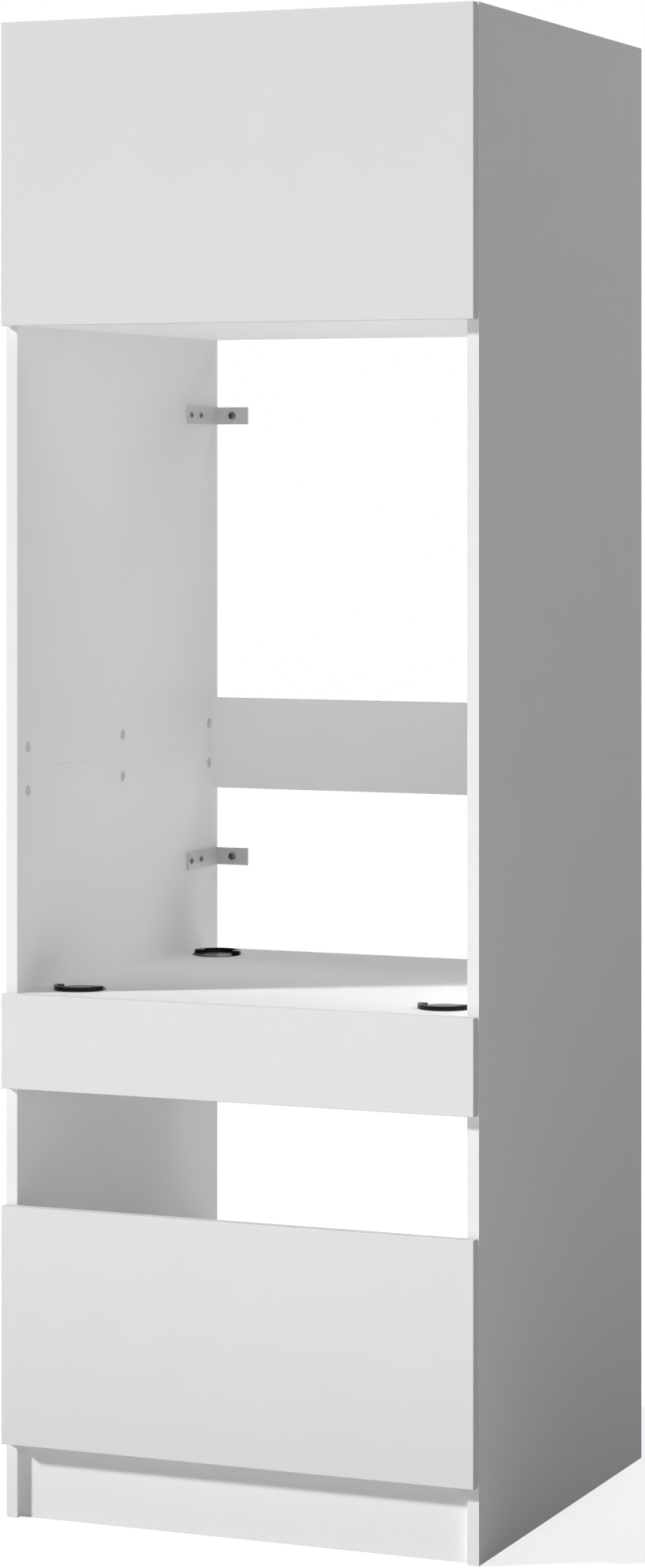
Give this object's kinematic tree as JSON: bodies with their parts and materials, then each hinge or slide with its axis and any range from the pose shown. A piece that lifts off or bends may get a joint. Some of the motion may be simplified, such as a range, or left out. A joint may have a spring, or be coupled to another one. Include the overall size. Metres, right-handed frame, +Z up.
{
  "type": "washing machine cabinet",
  "caption": "Tall white laundry housing with an open niche and platform for a washing machine, a door above and pull-outs below",
  "frame": {"origin": "on the floor, under the middle of the whole cabinet, fronts included", "axes": "X right as seen from the front, Y to the back (the fronts face -Y), Z up"},
  "size_m": [0.675, 0.6726, 2],
  "materials": {
    "white_board": "melamine-faced chipboard, fine matt texture",
    "front_lacquer": "smooth matt lacquered fronts",
    "white_hardboard": "painted hardboard sheet",
    "black_plastic": "moulded, glossy",
    "white_plastic": "moulded, satin",
    "coated_steel": "light grey powder coat",
    "zinc_steel": "zinc plated",
    "nickel_steel": "nickel plated",
    "zinc_casting": "die cast",
    "beech": "turned, unfinished"
  },
  "bodies": {
    "carcass": {"side_left_lower": "white_board", "side_left_upper": "white_board", "side_right_lower": "white_board", "side_right_upper": "white_board", "top_panel": "white_board", "compartment_floor": "white_board", "compartment_back": "white_hardboard", "bottom_panel": "white_board", "plinth_board": "white_board", "seam_rail": "white_board", "lower_rail": "white_board", "platform_board": "white_board", "platform_underlay": "white_board", "platform_angle_left": "coated_steel", "platform_angle_right": "coated_steel", "foot_holder_front_left": "black_plastic", "foot_holder_front_right": "black_plastic", "foot_holder_rear_left": "black_plastic", "foot_holder_rear_right": "black_plastic", "foot_holder_screws": "zinc_steel", "seam_cams": "zinc_casting", "seam_cam_caps": "white_plastic", "seam_bolts": "zinc_steel", "dowels": "beech", "wall_bracket_lower_left": "coated_steel", "wall_bracket_lower_right": "coated_steel", "wall_bracket_upper_left": "coated_steel", "wall_bracket_upper_right": "coated_steel", "bracket_screws": "zinc_steel", "hinge_arms": "nickel_steel", "hinge_plates": "nickel_steel", "plate_screws": "zinc_steel", "catch_sleeve": "white_plastic", "tray_runners_fixed": "zinc_steel", "drawer_runners_fixed": "zinc_steel", "runner_side_screws": "zinc_steel"},
    "door": {"door": "front_lacquer", "hinge_cups": "nickel_steel", "hinge_pins": "zinc_steel", "cup_screws": "zinc_steel", "catch_strike": "zinc_steel"},
    "catch_plunger": {"catch_plunger": "white_plastic"},
    "tray": {"tray_front": "front_lacquer", "tray_side_left": "white_board", "tray_side_right": "white_board", "tray_back": "white_board", "tray_bottom": "white_board", "tray_dowels": "beech", "tray_runners_box": "zinc_steel", "tray_box_screws": "zinc_steel"},
    "tray_slides": {"tray_runners_middle": "zinc_steel"},
    "drawer": {"drawer_front": "front_lacquer", "drawer_side_left": "white_board", "drawer_side_right": "white_board", "drawer_back": "white_board", "drawer_bottom": "white_board", "drawer_dowels": "beech", "drawer_runners_box": "zinc_steel", "drawer_box_screws": "zinc_steel"},
    "drawer_slides": {"drawer_runners_middle": "zinc_steel"}
  },
  "joints": [
    {"name": "door_hinge", "type": "hinge", "parent": "carcass", "child": "door", "pos_m": [-0.3315, -0.33075, 1.7965], "axis": [0, 0, -1], "range_deg": [0, 95]},
    {"name": "catch_slide", "type": "slide", "parent": "carcass", "child": "catch_plunger", "axis": [0, -1, 0], "range_m": [0, 0.012]},
    {"name": "tray_slide", "type": "slide", "parent": "carcass", "child": "tray", "axis": [0, -1, 0], "range_m": [0, 0.45]},
    {"name": "tray_slides_slide", "type": "slide", "parent": "carcass", "child": "tray_slides", "axis": [0, -1, 0], "range_m": [0, 0.226]},
    {"name": "drawer_slide", "type": "slide", "parent": "carcass", "child": "drawer", "axis": [0, -1, 0], "range_m": [0, 0.45]},
    {"name": "drawer_slides_slide", "type": "slide", "parent": "carcass", "child": "drawer_slides", "axis": [0, -1, 0], "range_m": [0, 0.226]}
  ],
  "couplings": [
    {"joint": "catch_slide", "follows": "door_hinge", "m_per_rad": 0.0072},
    {"joint": "tray_slides_slide", "follows": "tray_slide", "ratio": 0.5},
    {"joint": "drawer_slides_slide", "follows": "drawer_slide", "ratio": 0.5}
  ]
}
